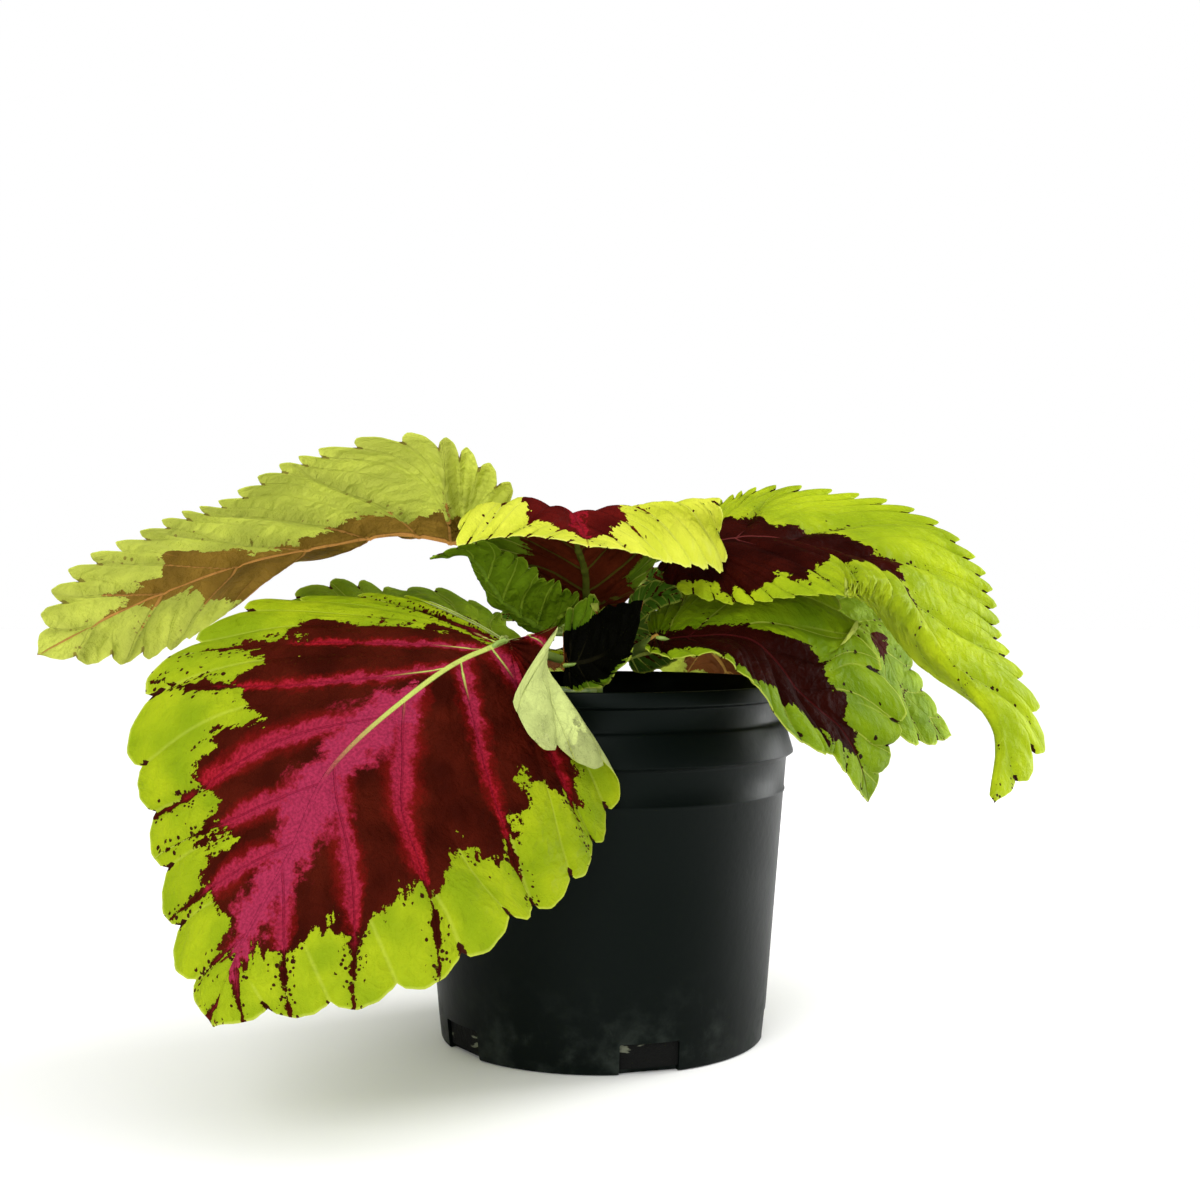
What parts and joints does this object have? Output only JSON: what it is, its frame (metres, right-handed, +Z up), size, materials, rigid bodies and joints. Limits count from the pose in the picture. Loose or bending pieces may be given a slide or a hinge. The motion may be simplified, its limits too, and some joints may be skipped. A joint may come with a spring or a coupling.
{
  "type": "potted coleus plant",
  "caption": "Young coleus with very large scalloped leaves, maroon and pink inside a wide lime border, in a round black nursery pot with soil.",
  "frame": {"origin": "centre of the flat underside of the pot, on the surface it stands on", "axes": "+Z up along the pot's axis, -Y towards the viewer of the picture, +X to the viewer's right"},
  "size_m": [0.4385, 0.3478, 0.2553],
  "materials": {
    "pot_plastic": "black injection-moulded plastic, semi-gloss, slightly dusty",
    "soil": "moist peat and bark potting mix, rough",
    "stem": "soft green squarish stem, satin",
    "leaf": "soft quilted leaf, satin, maroon and pink centre with a lime border"
  },
  "bodies": {
    "root": {"pot": "pot_plastic", "soil": "soil", "stem": "stem", "leaf_front_left": "leaf", "leaf_upper_left": "leaf", "leaf_upper_right": "leaf", "leaf_front_crest": "leaf", "leaf_front_right": "leaf", "leaf_low_left": "leaf", "leaf_back_right": "leaf", "leaf_back_top": "leaf", "leaf_back_low_right": "leaf", "leaf_back_low_left": "leaf", "leaf_inner_left": "leaf", "leaf_inner_front": "leaf", "leaf_small_right": "leaf", "leaf_small_left": "leaf"}
  },
  "joints": []
}
